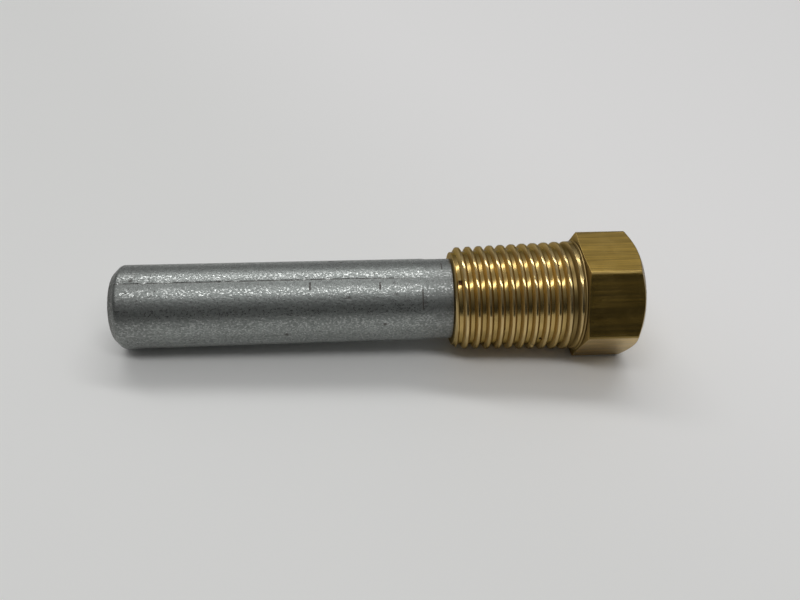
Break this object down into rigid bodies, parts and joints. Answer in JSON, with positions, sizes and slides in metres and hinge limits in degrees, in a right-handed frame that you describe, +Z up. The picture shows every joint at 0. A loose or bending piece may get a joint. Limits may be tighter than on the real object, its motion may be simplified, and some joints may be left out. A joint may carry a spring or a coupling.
{
  "type": "sacrificial anode",
  "caption": "Pencil anode: cast zinc rod screwed into a brass hex-headed taper pipe plug, lying on its side.",
  "frame": {"origin": "bottom centre of the bounding box, on the surface the anode lies on", "axes": "+X along the rod toward the hex head (the axis itself rises 1.9 degrees that way), +Y across, +Z up"},
  "size_m": [0.0658, 0.0164, 0.0145],
  "materials": {
    "brass": "satin",
    "zinc": "rough"
  },
  "bodies": {
    "root": {"brass_plug": "brass", "zinc_rod": "zinc"}
  },
  "joints": []
}
